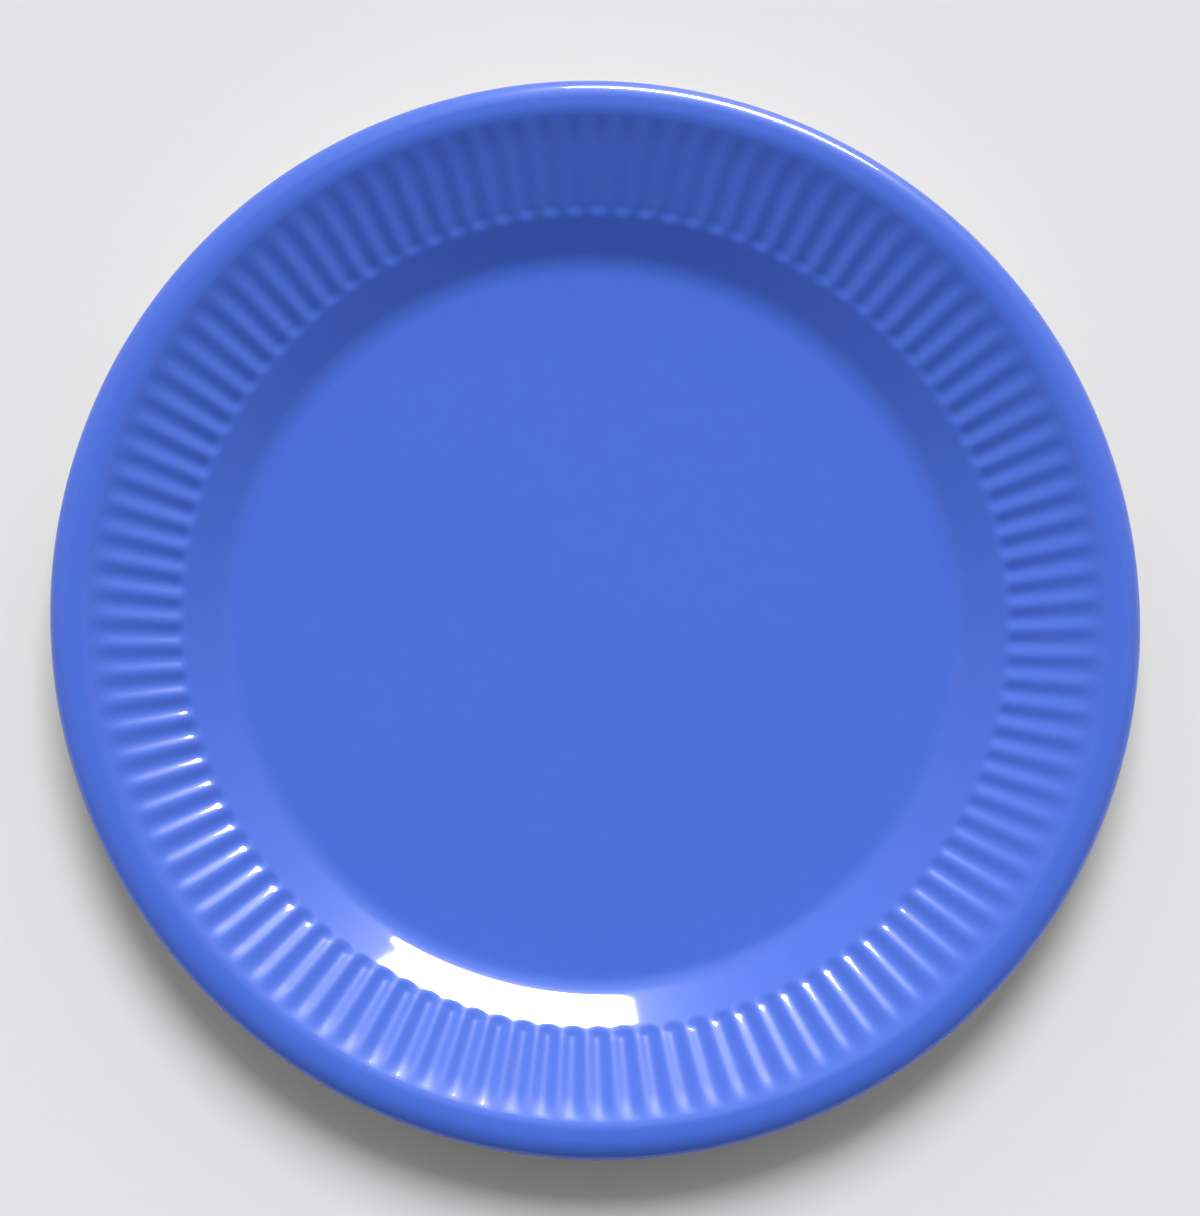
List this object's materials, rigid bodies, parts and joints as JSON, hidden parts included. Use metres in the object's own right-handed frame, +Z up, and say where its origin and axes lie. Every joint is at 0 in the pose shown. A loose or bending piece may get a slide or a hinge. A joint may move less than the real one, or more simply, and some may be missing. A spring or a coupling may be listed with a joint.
{
  "type": "paper plate",
  "caption": "Round pressed board plate with a flat floor, a short fluted wall and a rolled-down rim, glossy on its face.",
  "frame": {"origin": "middle of the floor's underside, on the table", "axes": "+Z up along the plate's axis of symmetry; X and Y lie in the table, and a flute lies on +X"},
  "size_m": [0.23, 0.23, 0.018],
  "materials": {
    "coated_board": "glossy printed coating on the face, plain white board underneath and at the cut edge"
  },
  "bodies": {
    "root": {"plate": "coated_board"}
  },
  "joints": []
}
